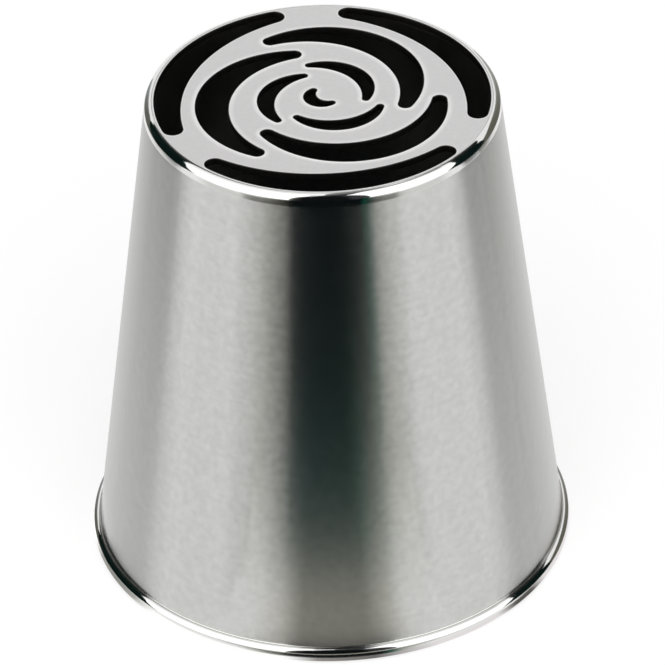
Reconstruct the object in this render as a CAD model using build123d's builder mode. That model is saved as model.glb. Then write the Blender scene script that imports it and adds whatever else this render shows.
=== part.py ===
from build123d import *
from math import atan, cos, radians, sin, tan
import os

# A piping nozzle that pipes a whole rose in one push. It stands on its wide end.
# Origin: centre of the foot, on the table. +Z runs up the axis to the slotted face.

# Shell: a tapered tube of stainless sheet, hemmed outwards at the foot
height = 36.8
foot_diameter = 34.2            # outside of the wall, carried down to the table
mouth_diameter = 25.0           # outside of the wall, carried up to the face
wall = 0.45
hem_height = 1.05               # how far up the wall the folded edge reaches

# Shares of the sheet's thickness that the rounds of the hem take
hem_foot_share = 0.9
hem_lip_share = 0.88
hem_root_share = 0.1

# Face plate: a disc pushed up the taper from inside until it sits flush in the mouth
plate_thickness = 0.5
seat_clearance = 0.02           # from the wall, for the plate and for the weld under it
edge_web = 0.18                 # metal left between the outer slots and the plate's edge
slot_edge_radius = 0.06

# The rose is three rings of three crescents round one small comma. A crescent is a disc
# with a bite taken out by a second disc, and both of its horns are rounded. All lengths
# are shares of the rose's radius, and bearings are in degrees, from +X.
slots_per_ring = 3
#                 disc off, bearing, disc rad, bite off, bearing, bite rad, horn rad
outer_shares = (0.000, 0.0, 1.000, 0.249, -26.5, 1.067, 0.060)
middle_shares = (0.179, -154.5, 0.592, 0.115, -84.0, 0.571, 0.042)
inner_shares = (0.100, -161.0, 0.291, 0.082, -66.5, 0.321, 0.021)
centre_shares = (0.005, 118.0, 0.108, 0.052, 43.0, 0.079, 0.020)

# Weld: a thin bead all round the inside corner between plate and wall
weld_depth = 0.4                # how far down the wall it reaches

# One overrun serves every cut
overrun = 1.0

foot_radius = foot_diameter / 2
mouth_radius = mouth_diameter / 2
taper = atan((foot_radius - mouth_radius) / height)
land = wall / cos(taper)        # the sheet's thickness, measured level
plate_bottom = height - plate_thickness


def outside(z):
    """Radius of the wall's outer face at height z."""
    return mouth_radius + (height - z) * tan(taper)


def inside(z):
    """Radius of the wall's inner face at height z."""
    return outside(z) - land


rose_radius = inside(height) - seat_clearance - edge_web


def polar(offset, bearing):
    """A point of the face, from its offset and bearing."""
    return (offset * cos(radians(bearing)), offset * sin(radians(bearing)))


def crescent(shares):
    """One slot: a disc less a second disc, with both horns rounded."""
    disc, disc_bearing, disc_size, bite, bite_bearing, bite_size, horn = shares
    with BuildSketch() as slot:
        with Locations(polar(disc * rose_radius, disc_bearing)):
            Circle(disc_size * rose_radius)
        with Locations(polar(bite * rose_radius, bite_bearing)):
            Circle(bite_size * rose_radius, mode=Mode.SUBTRACT)
        fillet(slot.vertices(), horn * rose_radius)
    return slot.sketch


# The shell. Its mouth is rounded over the whole thickness of the sheet, and its foot is
# folded out and pressed flat against the wall, which makes the hem two sheets thick.
with BuildPart() as cone_shell:
    with BuildSketch(Plane.XZ) as shell_section:
        with BuildLine():
            mouth_edge = (inside(height), height)
            foot_edge = (inside(0), 0)
            hem_heel = (foot_radius + land, 0)
            hem_root = (outside(hem_height), hem_height)
            hem_lip = (hem_root[0] + wall * cos(taper), hem_height + wall * sin(taper))
            shoulder = (mouth_radius + land * sin(taper), height - land * cos(taper))
            Polyline(mouth_edge, foot_edge, hem_heel, hem_lip, hem_root, shoulder)
            TangentArc(shoulder, mouth_edge, tangent=(-sin(taper), cos(taper)))
        make_face()
        foot_corners = shell_section.vertices().group_by(Axis.Y)[0]
        fillet(foot_corners, hem_foot_share * wall)
        lip_corner = shell_section.vertices().sort_by_distance(hem_lip)[0]
        fillet(lip_corner, hem_lip_share * wall)
        root_corner = shell_section.vertices().sort_by_distance(hem_root)[0]
        fillet(root_corner, hem_root_share * wall)
    revolve(axis=Axis.Z)
cone_shell.part.label = "cone_shell"

# The face plate. Its edge has the wall's taper, and the rose is cut right through it.
with BuildPart() as face_plate:
    with BuildSketch(Plane.XZ):
        with BuildLine():
            Polyline(
                (0, plate_bottom),
                (inside(plate_bottom) - seat_clearance, plate_bottom),
                (inside(height) - seat_clearance, height),
                (0, height),
                close=True,
            )
        make_face()
    revolve(axis=Axis.Z)
    with BuildSketch(Plane.XY.offset(height)) as rose:
        for shares in (outer_shares, middle_shares, inner_shares):
            with PolarLocations(0, slots_per_ring):
                add(crescent(shares))
        add(crescent(centre_shares))
    extrude(amount=-(plate_thickness + overrun), mode=Mode.SUBTRACT)
    slot_edges = face_plate.faces().sort_by(Axis.Z)[-1].inner_wires().edges()
    fillet(slot_edges, slot_edge_radius)
face_plate.part.label = "face_plate"

# The weld. It fills the corner under the plate with a flat-faced bead. It is as wide as
# the web beside the outer slots, so it stays clear of them.
weld_toe = plate_bottom - weld_depth
with BuildPart() as weld_seam:
    with BuildSketch(Plane.XZ):
        with BuildLine():
            Polyline(
                (inside(plate_bottom) - seat_clearance - edge_web, plate_bottom),
                (inside(plate_bottom) - seat_clearance, plate_bottom),
                (inside(weld_toe) - seat_clearance, weld_toe),
                close=True,
            )
        make_face()
    revolve(axis=Axis.Z)
weld_seam.part.label = "weld_seam"

os.makedirs("parts", exist_ok=True)
for piece in (cone_shell, face_plate, weld_seam):
    export_step(piece.part, f"parts/{piece.part.label}.step")
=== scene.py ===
from math import atan, atan2, cos, pi, radians, sin, sqrt, tan

import bmesh
import bpy
from mathutils import Matrix, Vector


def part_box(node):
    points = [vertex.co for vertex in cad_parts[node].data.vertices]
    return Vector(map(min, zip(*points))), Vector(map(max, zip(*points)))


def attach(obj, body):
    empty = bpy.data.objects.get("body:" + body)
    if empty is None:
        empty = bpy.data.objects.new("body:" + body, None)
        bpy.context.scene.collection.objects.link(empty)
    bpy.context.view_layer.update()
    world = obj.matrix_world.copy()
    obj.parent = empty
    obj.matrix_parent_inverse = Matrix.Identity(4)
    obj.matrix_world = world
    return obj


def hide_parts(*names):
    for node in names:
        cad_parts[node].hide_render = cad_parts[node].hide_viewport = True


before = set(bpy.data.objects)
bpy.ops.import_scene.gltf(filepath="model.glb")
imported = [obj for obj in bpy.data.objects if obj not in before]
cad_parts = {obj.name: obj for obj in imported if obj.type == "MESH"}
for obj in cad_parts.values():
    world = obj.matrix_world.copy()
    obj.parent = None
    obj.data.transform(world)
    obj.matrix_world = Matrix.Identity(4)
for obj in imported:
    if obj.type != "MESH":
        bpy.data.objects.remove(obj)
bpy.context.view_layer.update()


# The shell is one cone of 304 stainless sheet, deep drawn and then finished on a lathe.
# Its mouth is rounded off flush with the face plate. Its foot is folded outwards and
# pressed flat, which makes a hem two sheets thick. One closed section is spun round.
mm = 0.001                      # a millimetre in metres: meshes are drawn in millimetres
box_low, box_high = [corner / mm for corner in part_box("cone_shell")]
height = box_high.z
hem_radius = min(-box_low.x, -box_low.y, box_high.x, box_high.y)
hem_proud = 0.402               # the hem's outside, past the wall carried down to the table
hem_height = 1.05
hem_foot_round = 0.4
hem_lip_round = 0.396
hem_root_round = 0.045
cone_spread = 4.6               # how much wider the wall's radius is at the table
mouth_radius = hem_radius - hem_proud - cone_spread
wall = 0.45
shell_facets = 288
round_facets = 12
wall_rings = 48
merge_gap = wall / 1000         # points closer than this are one point
crease = radians(40)            # an edge with a sharper turn than this stays sharp

taper = atan((hem_radius - hem_proud - mouth_radius) / height)
level_wall = wall / cos(taper)  # the sheet's thickness, measured level
mouth_round = level_wall / tan((pi / 2 - taper) / 2)    # takes the sheet's whole thickness


def outside(z):
    """Radius of the wall's outer face at height z, in millimetres."""
    return mouth_radius + (height - z) * tan(taper)


def round_corner(section, corner, radius):
    """Rounds one corner of a wire section to a radius."""
    arms = [edge.other_vert(corner).co - corner.co for edge in corner.link_edges]
    cut = radius * tan((pi - arms[0].angle(arms[1])) / 2)
    bmesh.ops.bevel(section, geom=[corner], offset=cut, offset_type="OFFSET",
                    segments=round_facets, profile=0.5, material=-1, affect="VERTICES")


shell = bmesh.new()
mouth_inner, foot_inner, heel, lip, root, shoulder = [
    shell.verts.new((x, 0, z)) for x, z in (
        (mouth_radius - level_wall, height),
        (outside(0) - level_wall, 0),
        (outside(0) + level_wall, 0),
        (outside(hem_height) + wall * cos(taper), hem_height + wall * sin(taper)),
        (outside(hem_height), hem_height),
        (mouth_radius, height),
    )
]
corners = [mouth_inner, foot_inner, heel, lip, root, shoulder]
for start, end in zip(corners, corners[1:] + corners[:1]):
    shell.edges.new((start, end))
round_corner(shell, foot_inner, hem_foot_round)
round_corner(shell, heel, hem_foot_round)
round_corner(shell, lip, hem_lip_round)
round_corner(shell, root, hem_root_round)
round_corner(shell, shoulder, mouth_round)
bmesh.ops.remove_doubles(shell, verts=shell.verts, dist=merge_gap)
long_edges = [edge for edge in shell.edges if edge.calc_length() > height / 2]
bmesh.ops.subdivide_edges(shell, edges=long_edges, cuts=wall_rings)
bmesh.ops.spin(shell, geom=shell.verts[:] + shell.edges[:], cent=(0, 0, 0), axis=(0, 0, 1),
               angle=2 * pi, steps=shell_facets, use_merge=True)
bmesh.ops.remove_doubles(shell, verts=shell.verts, dist=merge_gap)
bmesh.ops.recalc_face_normals(shell, faces=shell.faces)


def finish_mesh(made, name):
    """Turns a mesh in millimetres into an object in metres, smooth but for its creases."""
    bmesh.ops.scale(made, vec=(mm, mm, mm), verts=made.verts)
    for face in made.faces:
        face.smooth = True
    for edge in made.edges:
        edge.smooth = edge.calc_face_angle(0) < crease
    mesh = bpy.data.meshes.new(name)
    made.to_mesh(mesh)
    made.free()
    piece = bpy.data.objects.new(name, mesh)
    bpy.context.scene.collection.objects.link(piece)
    return piece


# The inner face has a finish of its own, so its faces take the second material slot.
for face in shell.faces:
    middle = face.calc_center_median()
    face.material_index = int(Vector((middle.x, middle.y, 0)).dot(face.normal) < 0
                              and middle.z > hem_foot_round)
spun_shell = finish_mesh(shell, "spun_shell")


def linear(code):
    """An sRGB hex colour as the linear colour that a shader takes."""
    shares = [int(code[at:at + 2], 16) / 255 for at in (1, 3, 5)]
    return [s / 12.92 if s <= 0.04045 else ((s + 0.055) / 1.055) ** 2.4 for s in shares] + [1]


def add(tree, kind, inputs=None, **settings):
    """Adds a node. An input is given a value, or the output that feeds it."""
    made = tree.nodes.new("ShaderNode" + kind)
    for name, value in settings.items():
        setattr(made, name, value)
    for name, value in (inputs or {}).items():
        if isinstance(value, bpy.types.NodeSocket):
            tree.links.new(value, made.inputs[name])
        else:
            made.inputs[name].default_value = value
    return made


def new_material(name):
    """An empty material, with its node tree and its output."""
    material = bpy.data.materials.new(name)
    material.use_nodes = True
    material.node_tree.nodes.clear()
    return material, material.node_tree, material.node_tree.nodes.new("ShaderNodeOutputMaterial")


# 304 stainless, satin on the wall and mirror polished on the shoulder and the hem. The
# satin comes from fine emery held against the turning cone, so its lines run round and
# smear each reflection up and down. The real lines are a few hundredths of a millimetre
# wide. They are drawn 0.25 mm wide, and the mottle under them 0.6 mm, so that they show.
shoulder_polish = (0.92, 0.78)  # how far under the face the polish begins and is full
hem_polish = (0.07, 0.04)       # how far above the hem it begins and is full
polished_roughness = 0.08
satin_roughness = (0.185, 0.2)
lines_per_mm = (0.06, 0.06, 4)
specks_per_mm = 1.7
speck_share = 0.75
grain_spread = (0.3, 0.7)       # nearly all of the noise lies between these

satin_steel, tree, output = new_material("satin_304_stainless")
place = add(tree, "TexCoord").outputs["Object"]
level = add(tree, "SeparateXYZ", {0: place}).outputs["Z"]
above = add(tree, "MapRange", {"Value": level, "From Min": (height - shoulder_polish[0]) * mm,
                               "From Max": (height - shoulder_polish[1]) * mm},
            interpolation_type="SMOOTHSTEP")
below = add(tree, "MapRange", {"Value": level, "From Min": (hem_height + hem_polish[0]) * mm,
                               "From Max": (hem_height + hem_polish[1]) * mm},
            interpolation_type="SMOOTHSTEP")
polished = add(tree, "Math", {0: above.outputs[0], 1: below.outputs[0]}, operation="MAXIMUM")
stretched = add(tree, "Mapping", {"Vector": place, "Scale": [count / mm for count in lines_per_mm]})
lines = add(tree, "TexNoise", {"Vector": stretched.outputs[0], "Scale": 1, "Detail": 2})
specks = add(tree, "TexNoise", {"Vector": place, "Scale": specks_per_mm / mm, "Detail": 2})
grain = add(tree, "Mix", {"Factor": speck_share, "A": lines.outputs["Fac"],
                          "B": specks.outputs["Fac"]}, data_type="FLOAT")
satin = add(tree, "MapRange", {"Value": grain.outputs[0], "From Min": grain_spread[0],
                               "From Max": grain_spread[1], "To Min": satin_roughness[0],
                               "To Max": satin_roughness[1]})
rough = add(tree, "Mix", {"Factor": polished.outputs[0], "A": satin.outputs[0],
                          "B": polished_roughness}, data_type="FLOAT")
tone = add(tree, "Mix", {0: grain.outputs[0], 6: linear("#b7b7b5"),
                         7: linear("#d0d0ce")}, data_type="RGBA")
tone = add(tree, "Mix", {0: polished.outputs[0], 6: tone.outputs[2], 7: linear("#e3e3e1")},
           data_type="RGBA")
shade = add(tree, "BsdfPrincipled", {
    "Base Color": tone.outputs[2], "Metallic": 1.0, "Roughness": rough.outputs[0],
    "Anisotropic": 1.0, "Anisotropic Rotation": 0.25,
    "Tangent": add(tree, "Tangent", direction_type="RADIAL", axis="Z").outputs[0]})
tree.links.new(shade.outputs[0], output.inputs["Surface"])
spun_shell.data.materials.append(satin_steel)

# The same steel inside, as the deep drawing left it: a duller grey, with soft marks that
# run up and down, about a millimetre wide.
draw_marks_per_mm = (0.9, 0.9, 0.06)
drawn_roughness = (0.25, 0.45)

drawn_steel, tree, output = new_material("drawn_304_stainless")
place = add(tree, "TexCoord").outputs["Object"]
stretched = add(tree, "Mapping", {"Vector": place,
                                  "Scale": [count / mm for count in draw_marks_per_mm]})
draw_marks = add(tree, "TexNoise", {"Vector": stretched.outputs[0], "Scale": 1, "Detail": 4})
tone = add(tree, "Mix", {0: draw_marks.outputs["Fac"], 6: linear("#8f8e8a"),
                         7: linear("#a3a29e")}, data_type="RGBA")
rough = add(tree, "MapRange", {"Value": draw_marks.outputs["Fac"], "To Min": drawn_roughness[0],
                               "To Max": drawn_roughness[1]})
shade = add(tree, "BsdfPrincipled", {"Base Color": tone.outputs[2], "Metallic": 1.0,
                                     "Roughness": rough.outputs[0]})
tree.links.new(shade.outputs[0], output.inputs["Surface"])
spun_shell.data.materials.append(drawn_steel)

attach(spun_shell, "root")
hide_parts("cone_shell")


# The face plate is a disc of the same sheet, pushed up the taper until it sits flush in the
# mouth. The rose is punched through it: three rings of three crescents round one small
# comma. Beside each slot a bright band is painted on the face: a painted highlight.
plate_thickness = 0.5
seat_clearance = 0.02           # between the plate's edge and the wall
edge_web = 0.18                 # metal left between the outer slots and the plate's edge
edge_round = 0.05               # where the punch has drawn the slot's edge in
round_turns = 4
arc_steps = 96
horn_steps = 20

plate_bottom = height - plate_thickness
rose_radius = mouth_radius - level_wall - seat_clearance - edge_web

# A crescent is a disc with a bite taken out by a second disc, and two rounded horns. Its
# lengths are shares of the rose's radius, and its bearings are in degrees, from +X:
# disc's offset, bearing and radius, bite's offset, bearing and radius, horn's radius.
# The last number is how far the painted highlight band reaches from the slot, in millimetres.
outer_slot = (0.000, 0.0, 1.000, 0.249, -26.5, 1.067, 0.060, 0.15)
middle_slot = (0.179, -154.5, 0.592, 0.115, -84.0, 0.571, 0.042, 0.44)
inner_slot = (0.100, -161.0, 0.291, 0.082, -66.5, 0.321, 0.021, 0.44)
centre_slot = (0.005, 118.0, 0.108, 0.052, 43.0, 0.079, 0.020, 0.44)


def face_point(offset, bearing):
    """A point of the face, from its offset and bearing."""
    reach = offset * rose_radius
    return Vector((reach * cos(radians(bearing)), reach * sin(radians(bearing)), 0))


def punched_slot(shares):
    """Spins the edge of one slot round its four arcs: disc, horn, bite and the other horn."""
    disc, disc_bearing, disc_size, bite, bite_bearing, bite_size, horn_size, band = shares
    disc_centre = face_point(disc, disc_bearing)
    bite_centre = face_point(bite, bite_bearing)
    disc_radius, bite_radius, horn = [size * rose_radius
                                      for size in (disc_size, bite_size, horn_size)]
    gap = disc_centre - bite_centre

    # With the bite's centre as the origin and the disc's centre on +X, a horn's centre lies
    # its own radius inside the disc and outside the bite.
    along = (((bite_radius + horn) ** 2 - (disc_radius - horn) ** 2 + gap.length ** 2)
             / (2 * gap.length))
    across = sqrt((bite_radius + horn) ** 2 - along ** 2)
    disc_half = atan2(across, along - gap.length)
    bite_half = atan2(across, along)
    horn_sweep = pi + bite_half - disc_half

    # The edge's section runs from the flat round the drawn edge and down the cut.
    section = [(band, height)]
    for step in range(round_turns + 1):
        tilt = pi / 2 * step / round_turns
        section.append((edge_round * (1 - sin(tilt)), height - edge_round * (1 - cos(tilt))))
    section.append((0, plate_bottom))
    cut = bmesh.new()
    points = [cut.verts.new((gap.length + (disc_radius + into) * cos(disc_half),
                             -(disc_radius + into) * sin(disc_half), z)) for into, z in section]
    edge = points + [cut.edges.new(pair) for pair in zip(points, points[1:])]
    for centre, sweep, steps in (((gap.length, 0, 0), 2 * disc_half, arc_steps),
                                 ((along, across, 0), horn_sweep, horn_steps),
                                 ((0, 0, 0), -2 * bite_half, arc_steps),
                                 ((along, -across, 0), horn_sweep, horn_steps)):
        edge = bmesh.ops.spin(cut, geom=edge, cent=centre, axis=(0, 0, 1), angle=sweep,
                              steps=steps)["geom_last"]
    bmesh.ops.remove_doubles(cut, verts=cut.verts, dist=merge_gap)
    bmesh.ops.transform(cut, verts=cut.verts, matrix=Matrix.Translation(bite_centre)
                        @ Matrix.Rotation(atan2(gap.y, gap.x), 4, "Z"))

    # The painted highlight beside the slot is brightest at the slot, and the cut has its own
    # material.
    painted_highlight = cut.verts.layers.float.new("painted_highlight")
    for point in cut.verts:
        point[painted_highlight] = float(not point.is_boundary)
    for face in cut.faces:
        face.material_index = int(face.calc_center_median().z < height - edge_round / 100)
    mesh = bpy.data.meshes.new("slot")
    cut.to_mesh(mesh)
    cut.free()
    return mesh


plate = bmesh.new()
# This layer carries the painted highlight beside the slots.
plate.verts.layers.float.new("painted_highlight")
rim = [plate.verts.new((outside(z) - level_wall - seat_clearance, 0, z))
       for z in (plate_bottom, height)]
bmesh.ops.spin(plate, geom=rim + [plate.edges.new(rim)], cent=(0, 0, 0), axis=(0, 0, 1),
               angle=2 * pi, steps=shell_facets, use_merge=True)
for shares, count in ((outer_slot, 3), (middle_slot, 3), (inner_slot, 3), (centre_slot, 1)):
    slot = punched_slot(shares)
    for turned in range(count):
        plate.from_mesh(slot)
        slot.transform(Matrix.Rotation(2 * pi / count, 4, "Z"))
    bpy.data.meshes.remove(slot)
for level in (plate_bottom, height):
    ends = [edge for edge in plate.edges if edge.is_boundary
            and all(abs(point.co.z - level) < merge_gap for point in edge.verts)]
    bmesh.ops.triangle_fill(plate, edges=ends, use_beauty=True, normal=(0, 0, 1))
bmesh.ops.recalc_face_normals(plate, faces=plate.faces)
punched_plate = finish_mesh(plate, "punched_plate")

# 304 stainless, blasted with fine glass bead. It scatters light evenly, so the face is a
# pale grey with a soft sheen. Beside the slots it is painted brighter, a painted highlight. The
# dimples of real bead are under a tenth of a millimetre, and are drawn 0.3 mm wide, so that they
# show.
dimples_per_mm = 3
matt_roughness = 0.42
highlight_band_roughness = 0.36

matt_steel, tree, output = new_material("matt_304_stainless")
place = add(tree, "TexCoord").outputs["Object"]
dimples = add(tree, "TexNoise", {"Vector": place, "Scale": dimples_per_mm / mm, "Detail": 2})
painted_highlight = add(tree, "Attribute", attribute_name="painted_highlight").outputs["Fac"]
tone = add(tree, "Mix", {0: dimples.outputs["Fac"], 6: linear("#dddcdc"),
                         7: linear("#e6e5e5")}, data_type="RGBA")
# A painted highlight: the face is painted lighter in the band beside each slot.
tone = add(tree, "Mix", {0: painted_highlight, 6: tone.outputs[2], 7: linear("#fbfbfa")}, data_type="RGBA")
rough = add(tree, "Mix", {"Factor": painted_highlight, "A": matt_roughness, "B": highlight_band_roughness},
            data_type="FLOAT")
shade = add(tree, "BsdfPrincipled", {"Base Color": tone.outputs[2], "Metallic": 1.0,
                                     "Roughness": rough.outputs[0]})
tree.links.new(shade.outputs[0], output.inputs["Surface"])
punched_plate.data.materials.append(matt_steel)

# The cut sides of the slots are as the punch left them: torn and dull. They are painted
# dark, a painted shade for the shade inside the slots. The tears run down the cut. Real
# ones are finer, and are drawn a quarter of a millimetre wide, so that they show.
tears_per_mm = (4, 4, 0.8)
torn_roughness = 0.4

shaded_cut_steel, tree, output = new_material("punched_304_stainless_painted_shade")
place = add(tree, "TexCoord").outputs["Object"]
stretched = add(tree, "Mapping", {"Vector": place, "Scale": [count / mm for count in tears_per_mm]})
tears = add(tree, "TexNoise", {"Vector": stretched.outputs[0], "Scale": 1, "Detail": 2})
# A painted shade: the cut sides are painted dark for the shade inside the slots.
tone = add(tree, "Mix", {0: tears.outputs["Fac"], 6: linear("#3c3b39"),
                         7: linear("#4c4b48")}, data_type="RGBA")
shade = add(tree, "BsdfPrincipled", {"Base Color": tone.outputs[2], "Metallic": 1.0,
                                     "Roughness": torn_roughness})
tree.links.new(shade.outputs[0], output.inputs["Surface"])
punched_plate.data.materials.append(shaded_cut_steel)

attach(punched_plate, "root")
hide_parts("face_plate")


# The weld is a thin bead of the same steel all round the corner under the plate, and holds
# the plate to the wall. It keeps its mesh as built. The heat has dulled it and left a
# yellowish tint, and its ripples lie about two thirds of a millimetre apart.
ripples_per_mm = 1.5
weld_roughness = (0.3, 0.6)

weld_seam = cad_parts["weld_seam"]
weld_steel, tree, output = new_material("heat_tinted_weld")
place = add(tree, "TexCoord").outputs["Object"]
ripples = add(tree, "TexNoise", {"Vector": place, "Scale": ripples_per_mm / mm, "Detail": 3})
tone = add(tree, "Mix", {0: ripples.outputs["Fac"], 6: linear("#7d766a"),
                         7: linear("#a09a8e")}, data_type="RGBA")
rough = add(tree, "MapRange", {"Value": ripples.outputs["Fac"], "To Min": weld_roughness[0],
                               "To Max": weld_roughness[1]})
shade = add(tree, "BsdfPrincipled", {"Base Color": tone.outputs[2], "Metallic": 1.0,
                                     "Roughness": rough.outputs[0]})
tree.links.new(shade.outputs[0], output.inputs["Surface"])
weld_seam.data.materials.clear()
weld_seam.data.materials.append(weld_steel)


# The table is a sheet of pale card. To the camera it shows part of its own white, so that
# the ground is white and keeps the nozzle's shadow. Inside the foot it has no white of its
# own, so the slots are dark from above. Steel doesn't mirror it.
table_radius = 4.0              # in metres
table_white_share = 0.55
table_white = 1.1
foot_hole = outside(0) - level_wall


def stage_object(made, name, material):
    """Turns a mesh in metres into an object of the stage."""
    mesh = bpy.data.meshes.new(name)
    made.to_mesh(mesh)
    made.free()
    mesh.materials.append(material)
    piece = bpy.data.objects.new(name, mesh)
    bpy.context.scene.collection.objects.link(piece)
    return piece


pale_card, tree, output = new_material("pale_card")
rays = add(tree, "LightPath")
place = add(tree, "TexCoord").outputs["Object"]
from_axis = add(tree, "VectorMath", {0: place}, operation="LENGTH").outputs["Value"]
open_table = add(tree, "Math", {0: from_axis, 1: foot_hole * mm}, operation="GREATER_THAN")
shown = add(tree, "Math", {0: open_table.outputs[0], 1: table_white_share}, operation="MULTIPLY")
seen = add(tree, "Math", {0: rays.outputs["Is Camera Ray"], 1: shown.outputs[0]},
           operation="MULTIPLY")
diffuse = add(tree, "BsdfDiffuse", {"Color": linear("#f4f4f4")})
white = add(tree, "Emission", {"Color": linear("#ffffff"), "Strength": table_white})
both = add(tree, "MixShader", {0: seen.outputs[0], 1: diffuse.outputs[0], 2: white.outputs[0]})
tree.links.new(both.outputs[0], output.inputs["Surface"])
table = bmesh.new()
bmesh.ops.create_circle(table, cap_ends=True, segments=64, radius=table_radius)
table = stage_object(table, "table", pale_card)
table.visible_glossy = False


# Cards. Steel shows what stands round it, so the nozzle stands among painted cards. Only
# its reflections see them. A card's tone changes with the bearing, in degrees: 0 is in
# front of the nozzle, 90 on its right.
def paint(name, stops, strength):
    """A self-lit paint whose tone goes round the nozzle's axis, as (bearing, tone) stops."""
    made, tree, output = new_material(name)
    made.cycles.emission_sampling = "NONE"

    # The gradient runs once round the axis. The quarter turn puts its ends at the back.
    turned = add(tree, "VectorRotate", {"Vector": add(tree, "TexCoord").outputs["Object"],
                                        "Angle": pi / 2}, rotation_type="Z_AXIS")
    around = add(tree, "TexGradient", {"Vector": turned.outputs[0]}, gradient_type="RADIAL")
    ramp = add(tree, "ValToRGB", {0: around.outputs["Fac"]})
    tones = ramp.color_ramp.elements
    for bearing, tone in stops:
        tones.new(bearing / 360 + 0.5).color = linear(tone)
    tones.remove(tones[0])
    tones.remove(tones[-1])
    shine = add(tree, "Emission", {"Color": ramp.outputs["Color"], "Strength": strength})
    tree.links.new(shine.outputs[0], output.inputs["Surface"])
    return made


def hide(piece):
    """Leaves a card to the reflections alone."""
    piece.visible_camera = False
    piece.visible_diffuse = False
    piece.visible_shadow = False
    piece.visible_transmission = False
    piece.visible_volume_scatter = False


def card(name, rows, strength=1.0):
    """A card cut to shape. A row is a bearing, two edges as (radius, height), and a tone."""
    made = bmesh.new()
    edges = []
    for bearing, low, high, tone in rows:
        turn = Matrix.Rotation(radians(bearing - 90), 3, "Z")
        ends = [made.verts.new(turn @ Vector((radius, 0, z)) * mm) for radius, z in (low, high)]
        edges.append(made.edges.new(ends))
    for start, end in zip(edges, edges[1:]):
        made.faces.new((*start.verts, *reversed(end.verts)))
    stops = [(bearing, tone) for bearing, low, high, tone in rows]
    hide(stage_object(made, name, paint(name, stops, strength)))


far_reach = 2500                # in millimetres
sill_reach = 2000               # before the front flag's faces, which come in to 2190
dark = "#0d1a18"


def far_card(name, rows, reach=far_reach):
    """A far card. Its two edges are given as elevations, in degrees."""
    card(name, [(bearing, (reach * cos(radians(low)), reach * sin(radians(low))),
                 (reach * cos(radians(high)), reach * sin(radians(high))), tone)
                for bearing, low, high, tone in rows])


# The dark strip down the wall's front, and above it the dark patch of the shoulder
far_card("front_flag", (
    (-52, -60, 0, "#ffffff"), (-45, -60, 0, "#ffffff"), (-37.5, -60, 0, "#dcdcd6"),
    (-30, -60, 0, "#9c9c94"), (-23, -60, 0, "#505048"), (-20.5, -60, 0, "#1c221f"),
    (-18, -60, 0, "#0c1011"), (21, -60, 0, "#0c1011"), (25, -60, 0, "#14483a"),
    (27.5, -60, 0, "#5f7a70"), (30.5, -60, 0, "#aeaea8"), (37.5, -60, 0, "#e8e8e3"),
    (45, -60, 0, "#ffffff")))
far_card("camera_flag", (
    (-21, 0, 75, "#8c8c84"), (-18.5, 0, 75, "#3c3c38"), (-14, 0, 75, "#101314"),
    (14, 0, 75, "#101314"), (18, 0, 75, "#3a3b3d"), (27, 0, 75, "#3a3b3d")))

# The thin dark lines under the shoulder's white band, on both sides of the strip
far_card("left_sill_flag", (
    (-84, -21, -17, "#ffffff"), (-74, -21, -16.5, "#d6d6d4"), (-52, -20.5, -15.5, "#d2d2d0"),
    (-48, -20.5, -15, "#7a7a6e"), (-44, -20.5, -15, "#302e20"), (-22, -20, -14.5, "#1c1c18"),
    (-20, -20, -14.5, "#141a17")), sill_reach)
far_card("right_sill_flag", (
    (25, -20, -14.5, "#141a17"), (28, -20, -14.5, "#20201c"), (40, -20.5, -15, "#3c3c36"),
    (43, -20.5, -15, "#4a4a44"), (47, -20.5, -15, "#b8b8b4"), (52, -20.5, -15.5, "#d2d2d0"),
    (74, -21, -16.5, "#d6d6d4"), (84, -21, -17, "#ffffff")), sill_reach)

# The greys of the shoulder's upper edge
far_card("overhead_flag", (
    (-60, 85, 89.9, "#5a5a5a"), (-25, 79, 89.9, "#5a5a5a"), (-8, 75, 89.9, "#4a4a4b"),
    (0, 75, 89.9, "#3a3b3d"), (27, 73, 89.9, "#3a3b3d"), (45, 77, 89.9, "#3a3b3d"),
    (90, 81, 89.9, "#3a3b3d"), (135, 78, 89.9, "#3a3b3d"), (150, 73, 89.9, "#5a5a5a"),
    (160, 66, 89.9, "#7c7c7a"), (166, 60, 89.9, "#8c8c8a"), (172, 50, 89.9, "#8c8c8a"),
    (179, 45, 89.9, "#8c8c8a")))
far_card("rear_grey_card", (
    (132, 56, 78, "#d2d2d0"), (150, 54, 73, "#b4b4b2"), (160, 51, 66, "#aaaaa8"),
    (166, 50, 60, "#a0a09e")))

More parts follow.
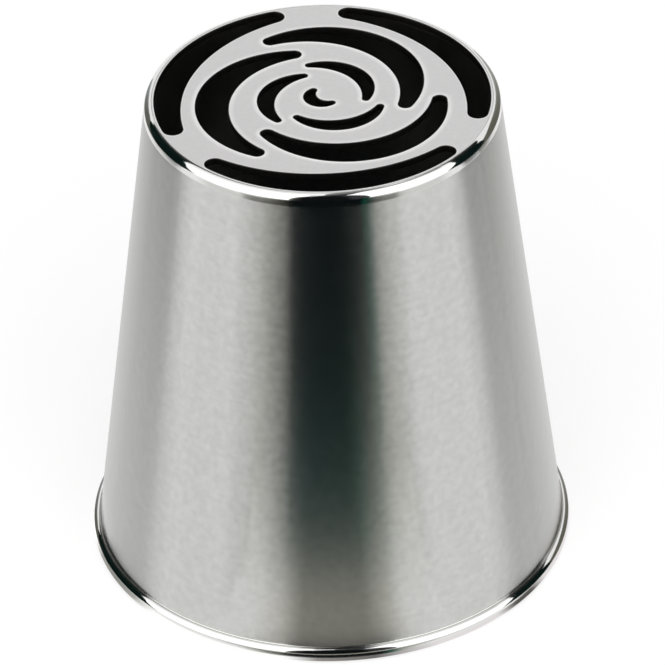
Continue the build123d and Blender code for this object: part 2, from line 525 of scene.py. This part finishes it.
# The bands down the wall's sides, and the dark patches of the shoulder and the hem there
far_card("left_flag", (
    (-178, 37, 44, "#66665f"), (-165, 36, 47.5, "#484845"), (-150, 33, 50, "#1a2422"),
    (-143, 25, 50.5, dark), (-136, 16, 50, dark), (-131, 3, 49, dark),
    (-126, -24.5, 48, "#182523"), (-121, -23.8, 46.5, dark), (-112, -23.3, 41, dark),
    (-104, -22.6, 36, dark), (-98, -20.5, 30, dark), (-94, -16.5, 22, dark),
    (-90, -12, 13, dark), (-86, -10, 2, "#182220"), (-83, -9, -6, "#3a403e")))
far_card("left_grey_card", (
    (-158, -25, 24, "#a6aaae"), (-150, -25.5, 28, "#808280"), (-143, -25.5, 25, "#686963"),
    (-136, -25, 16, "#66665d"), (-131, -24.8, 3, "#60605a"), (-126, -24.5, -24, "#4a4f4c")))
far_card("right_flag", (
    (79, -8, -4, "#3c4644"), (82, -10, 8, "#25302e"), (86, -12, 18, dark),
    (90, -17, 25, dark), (94, -20.5, 32, dark), (98, -22.2, 38, dark), (104, -23, 43, dark),
    (110, -23.3, 47.5, dark), (112.5, -23.4, 48.5, dark), (113.5, 14, 49, dark),
    (120, 33, 51, dark), (137, 41, 53, "#1c1c1c"), (150, 43, 52, "#333333"),
    (172, 40, 49, "#555555")))
far_card("right_grey_card", (
    (112.5, -24.5, 14, "#66665c"), (121, -25, 22, "#66665c"), (130, -25, 28, "#64645a"),
    (143, -25, 33, "#74746c"), (152, -25, 33, "#8c8c86"), (165, -25, 20, "#b8bab8")))

ring_lift = 0.03                # how high a ring card lies over the table, in millimetres
ring_step = 3                   # degrees


def ring_card(name, inner, outer, stops, strength=1.0):
    """A flat card on the table, between two radii in millimetres."""
    made = bmesh.new()
    ends = [made.verts.new((radius * mm, 0, ring_lift * mm)) for radius in (inner, outer)]
    made.edges.new(ends)
    start, end = stops[0][0], stops[-1][0]
    bmesh.ops.rotate(made, verts=made.verts, matrix=Matrix.Rotation(radians(start - 90), 3, "Z"))
    bmesh.ops.spin(made, geom=made.verts[:] + made.edges[:], axis=(0, 0, 1),
                   angle=radians(end - start), steps=2 + int(end - start) // ring_step)
    hide(stage_object(made, name, paint(name, stops, strength)))


# The strip's brownish foot and the teal above it, the hem's underside, and a painted shade:
# a dark card inside the foot, where the inside of the cone is in shade
ring_card("near_card", 20, 34, (
    (-36, "#ffffff"), (-25, "#ffffff"), (-17, "#e2e0d9"), (-10, "#aaa89f"), (10, "#a8a69d"),
    (18, "#dcdad2"), (24, "#ffffff"), (36, "#ffffff")))
ring_card("teal_card", 34, 56, (
    (-34, "#e8e8e2"), (-28, "#cecec8"), (-22, "#8a8e88"), (-17, "#1c443e"), (-12, "#003c3c"),
    (8, "#003c38"), (13, "#386056"), (18, "#7c8a80"), (24, "#b4b8ac"), (29, "#dadcd2"),
    (36, "#f0f0ea")))
ring_card("foot_card", 17.1, 18.4, (
    (-179.9, "#f0f0f0"), (-84, "#ffffff"), (-76, "#a0a09c"), (-66, "#8a8a86"), (-58, "#a0a09c"),
    (-50, "#ffffff"), (-12, "#ffffff"), (-4, "#8c8a88"), (10, "#6c6a68"), (17, "#b0aeae"),
    (26, "#e0dcdd"), (44, "#dedadb"), (50, "#55534f"), (57, "#55534f"), (63, "#dedadb"),
    (90, "#dedadb"), (179.9, "#f0f0f0")), strength=1.3)
# A painted shade: a dark card inside the foot, seen only by reflections, for the shade in the cone.
ring_card("painted_shade_card", 0.5, foot_hole - 0.05, ((-179.9, "#0e1010"), (179.9, "#0e1010")))


# The surroundings are white to the camera and a little darker as light. Steel sees them
# white too, and brighter than white in front, where a tall soft panel stands: that makes
# the white bands of the shoulder and the hem.
ambient = 0.65
panel_gain = 0.7
panel_sides = (-0.1, 0.5)       # where it fades towards the back, as a direction's Y
panel_foot = (-0.35, 0.1)       # where it fades downwards, as a direction's Z

world = bpy.data.worlds.new("studio")
bpy.context.scene.world = world
world.use_nodes = True
world.cycles.sampling_method = "NONE"
tree = world.node_tree
tree.nodes.clear()
rays = add(tree, "LightPath")
seen = add(tree, "Math", {0: rays.outputs["Is Camera Ray"], 1: rays.outputs["Is Transmission Ray"]},
           operation="MAXIMUM")
strength = add(tree, "Mix", {"Factor": seen.outputs[0], "A": ambient, "B": 1.0}, data_type="FLOAT")
toward = add(tree, "SeparateXYZ", {0: add(tree, "TexCoord").outputs["Generated"]})
front = add(tree, "MapRange", {"Value": toward.outputs["Y"], "From Min": panel_sides[0],
                               "From Max": panel_sides[1], "To Min": panel_gain, "To Max": 0.0})
raised = add(tree, "MapRange", {"Value": toward.outputs["Z"], "From Min": panel_foot[0],
                                "From Max": panel_foot[1]})
panel = add(tree, "Math", {0: front.outputs[0], 1: raised.outputs[0], 2: 1.0},
            operation="MULTIPLY_ADD")
strength = add(tree, "Mix", {"Factor": rays.outputs["Is Glossy Ray"], "A": strength.outputs[0],
                             "B": panel.outputs[0]}, data_type="FLOAT")
background = add(tree, "Background", {"Color": linear("#ffffff"), "Strength": strength.outputs[0]})
tree.links.new(background.outputs[0], add(tree, "OutputWorld").inputs["Surface"])

# A softbox stands in front and above, and lights the table round the nozzle.
softbox_level = 1.7
softbox_reach = 1.1             # in metres
softbox_tilt = radians(42)
lamp = bpy.data.lights.new("softbox", "AREA")
lamp.shape = "RECTANGLE"
lamp.size = 1.6
lamp.size_y = 1.4
lamp.energy = softbox_level * pi * lamp.size * lamp.size_y
softbox = bpy.data.objects.new("softbox", lamp)
bpy.context.scene.collection.objects.link(softbox)
softbox.location = (0, -cos(softbox_tilt) * softbox_reach, sin(softbox_tilt) * softbox_reach)
softbox.rotation_euler = (pi / 2 - softbox_tilt, 0, 0)
softbox.visible_camera = False
softbox.visible_glossy = False


# The camera stands where the photograph's stood, as fitted to the nozzle's outline and its
# slots. Its distance is measured from the middle of the nozzle's axis. It is turned a
# little, because the photograph is rolled and the nozzle isn't in its centre.
camera_distance = 451.9         # in millimetres
camera_elevation = radians(35.057)
camera_roll = radians(-1.259)
focal_pixels = 6281.6
aim_right = -5.05               # in pixels
aim_up = -21.13

camera_data = bpy.data.cameras.new("camera")
camera_data.lens = 340.1
camera_data.sensor_width = 36
camera_data.clip_start = 0.01
camera_data.clip_end = 10
camera = bpy.data.objects.new("camera", camera_data)
bpy.context.scene.collection.objects.link(camera)
bpy.context.scene.camera = camera
turn = (Matrix.Rotation(pi / 2 - camera_elevation, 3, "X")
        @ Matrix.Rotation(atan(aim_right / focal_pixels), 3, "Y")
        @ Matrix.Rotation(atan(aim_up / focal_pixels), 3, "X")
        @ Matrix.Rotation(camera_roll, 3, "Z"))
stand = (Vector((0, -cos(camera_elevation), sin(camera_elevation))) * camera_distance
         + Vector((0, 0, height / 2)))
camera.matrix_world = Matrix.Translation(stand * mm) @ turn.to_4x4()

bpy.context.scene.view_settings.view_transform = "Standard"
